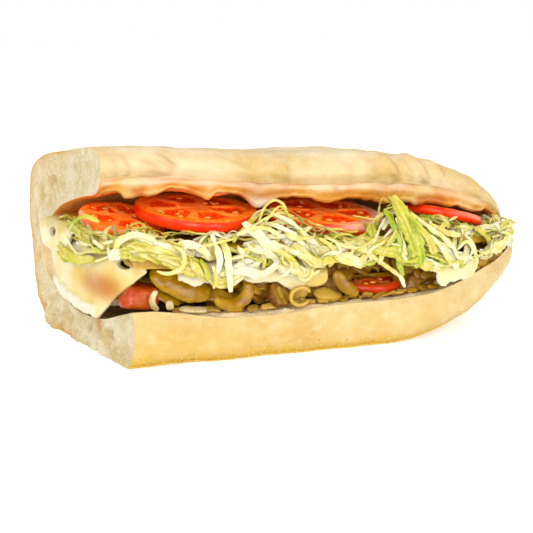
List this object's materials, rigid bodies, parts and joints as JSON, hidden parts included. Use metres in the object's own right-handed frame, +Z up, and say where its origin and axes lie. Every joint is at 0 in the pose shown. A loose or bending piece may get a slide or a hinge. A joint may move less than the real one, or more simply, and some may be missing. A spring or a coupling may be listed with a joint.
{
  "type": "submarine sandwich",
  "caption": "Half submarine sandwich: a long hinged roll cut across at one end, filled with cheese, peppers, shredded lettuce, onion and tomato slices.",
  "frame": {"origin": "middle of the whole's bounding box at its underside, on the surface it lies on", "axes": "+X along the roll from the cut end to the round tip, -Y the open front, +Y the hinge, +Z up"},
  "size_m": [0.1988, 0.1004, 0.0776],
  "materials": {
    "bread": "baked crust, pale gold, soft off-white crumb inside",
    "tomato": "wet sliced tomato, red skin and orange-red flesh",
    "cheese": "pale semi-soft cheese slice, slightly translucent",
    "green_pepper": "pickled olive-green pepper and pickle, wet",
    "onion": "raw white onion, translucent",
    "lettuce": "shredded iceberg lettuce, yellow-green to white"
  },
  "bodies": {
    "root": {"bread_roll": "bread", "tomato_slice_1": "tomato", "tomato_slice_2": "tomato", "tomato_slice_3": "tomato", "tomato_slice_4": "tomato", "tomato_low_slice": "tomato", "tomato_low_wedge": "tomato", "cheese_cut_end_low": "cheese", "cheese_cut_end_high": "cheese", "cheese_front_1": "cheese", "cheese_front_2": "cheese", "cheese_front_3": "cheese", "cheese_tip": "cheese", "pepper_strip_long": "green_pepper", "pepper_ring": "green_pepper", "pickle_chip_1": "green_pepper", "pepper_ring_small": "green_pepper", "pepper_strip_bent": "green_pepper", "pepper_strip_pale": "green_pepper", "pickle_chip_2": "green_pepper", "pepper_tip_strip": "green_pepper", "pepper_tip_curl": "green_pepper", "onion_hook": "onion", "onion_upright": "onion", "onion_flat": "onion", "lettuce_heap": "lettuce", "pepper_layer": "green_pepper"}
  },
  "joints": []
}
